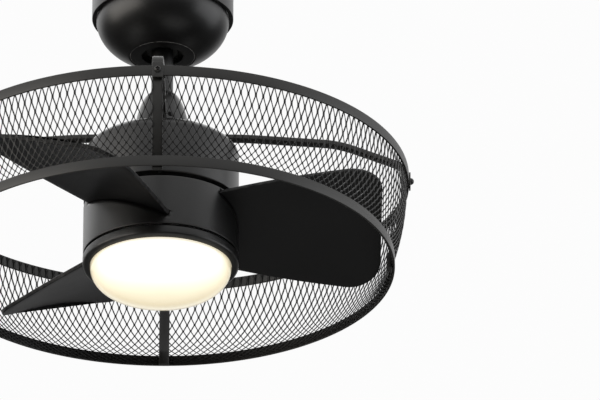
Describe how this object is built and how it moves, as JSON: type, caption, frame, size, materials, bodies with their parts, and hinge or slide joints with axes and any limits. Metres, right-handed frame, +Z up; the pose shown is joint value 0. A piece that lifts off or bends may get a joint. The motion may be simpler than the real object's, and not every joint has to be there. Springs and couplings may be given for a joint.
{
  "type": "caged ceiling fan with light",
  "caption": "Drum-shaped ceiling fan: short pitched blades turn inside an expanded-metal cage on bent arms, with an opal light below and a bowl canopy above.",
  "frame": {"origin": "on the ceiling plane, at the fan's vertical axis and the middle of the two ceiling screws", "axes": "+Z up into the ceiling, +X to the right and along the line of the two ceiling screws, +Y to the back; the fan hangs down -Z"},
  "size_m": [0.612, 0.612, 0.4055],
  "materials": {
    "satin_black": "satin",
    "cage_black": "satin",
    "mesh_black": "satin",
    "blade_black": "matte",
    "screw_black": "satin",
    "zinc_steel": "satin",
    "cast_alloy": "matte",
    "core_steel": "matte",
    "winding_copper": "gloss",
    "magnet": "matte",
    "nylon": "matte",
    "box_plastic": "matte",
    "terminal_plastic": "matte",
    "pan_white": "satin",
    "board_white": "matte",
    "emitter": "gloss",
    "opal": "satin"
  },
  "bodies": {
    "ceiling_mount": {"hanger_bracket": "zinc_steel", "canopy_bowl": "satin_black", "canopy_base_plate": "satin_black", "canopy_trim_ring": "satin_black", "canopy_screws": "satin_black", "receiver_box": "box_plastic", "terminal_block": "terminal_plastic"},
    "seat_liner": {"ball_seat_liner": "nylon"},
    "fan_frame": {"hanger_ball": "nylon", "ball_cross_pin": "zinc_steel", "downrod": "satin_black", "motor_coupling": "zinc_steel", "coupling_pin": "zinc_steel", "coupling_set_screws": "zinc_steel", "coupling_bolts": "zinc_steel", "coupling_cover": "satin_black", "cover_screws": "screw_black", "upper_housing": "satin_black", "housing_base_ring": "satin_black", "base_ring_screws": "zinc_steel", "motor_controller": "box_plastic", "light_driver": "box_plastic", "cage_arm_right": "cage_black", "cage_arm_back": "cage_black", "cage_arm_left": "cage_black", "cage_arm_front": "cage_black", "arm_screws": "zinc_steel", "cage_top_ring": "cage_black", "cage_bottom_ring": "cage_black", "clamp_plates": "satin_black", "clamp_screws": "satin_black", "mesh_panel_1": "mesh_black", "mesh_panel_2": "mesh_black", "mesh_panel_3": "mesh_black", "mesh_panel_4": "mesh_black", "motor_shaft": "zinc_steel", "shaft_nut": "zinc_steel", "stator_core": "core_steel", "stator_windings": "winding_copper", "lamp_pan": "pan_white", "light_bezel": "satin_black", "light_board": "board_white", "light_emitters": "emitter"},
    "rotor": {"rotor_upper_case": "cast_alloy", "rotor_lower_case": "cast_alloy", "magnet_ring": "magnet", "upper_bearing": "zinc_steel", "lower_bearing": "zinc_steel", "hub_shell": "satin_black", "blade_carrier": "cast_alloy", "carrier_bolts": "zinc_steel", "blade_1": "blade_black", "blade_2": "blade_black", "blade_3": "blade_black", "blade_screws": "zinc_steel"},
    "diffuser": {"diffuser": "opal"}
  },
  "joints": [
    {"name": "swing_sideways", "type": "hinge", "parent": "ceiling_mount", "child": "seat_liner", "pos_m": [0, 0, -0.058], "axis": [0, 1, 0], "range_deg": [-12, 12]},
    {"name": "swing_fore_aft", "type": "hinge", "parent": "seat_liner", "child": "fan_frame", "pos_m": [0, 0, -0.058], "axis": [1, 0, 0], "range_deg": [-12, 12]},
    {"name": "blade_spin", "type": "hinge", "parent": "fan_frame", "child": "rotor", "pos_m": [0, 0, -0.3], "axis": [0, 0, 1], "continuous": true},
    {"name": "diffuser_twist", "type": "hinge", "parent": "fan_frame", "child": "diffuser", "pos_m": [0, 0, -0.367], "axis": [0, 0, 1], "range_deg": [-25, 0]}
  ]
}
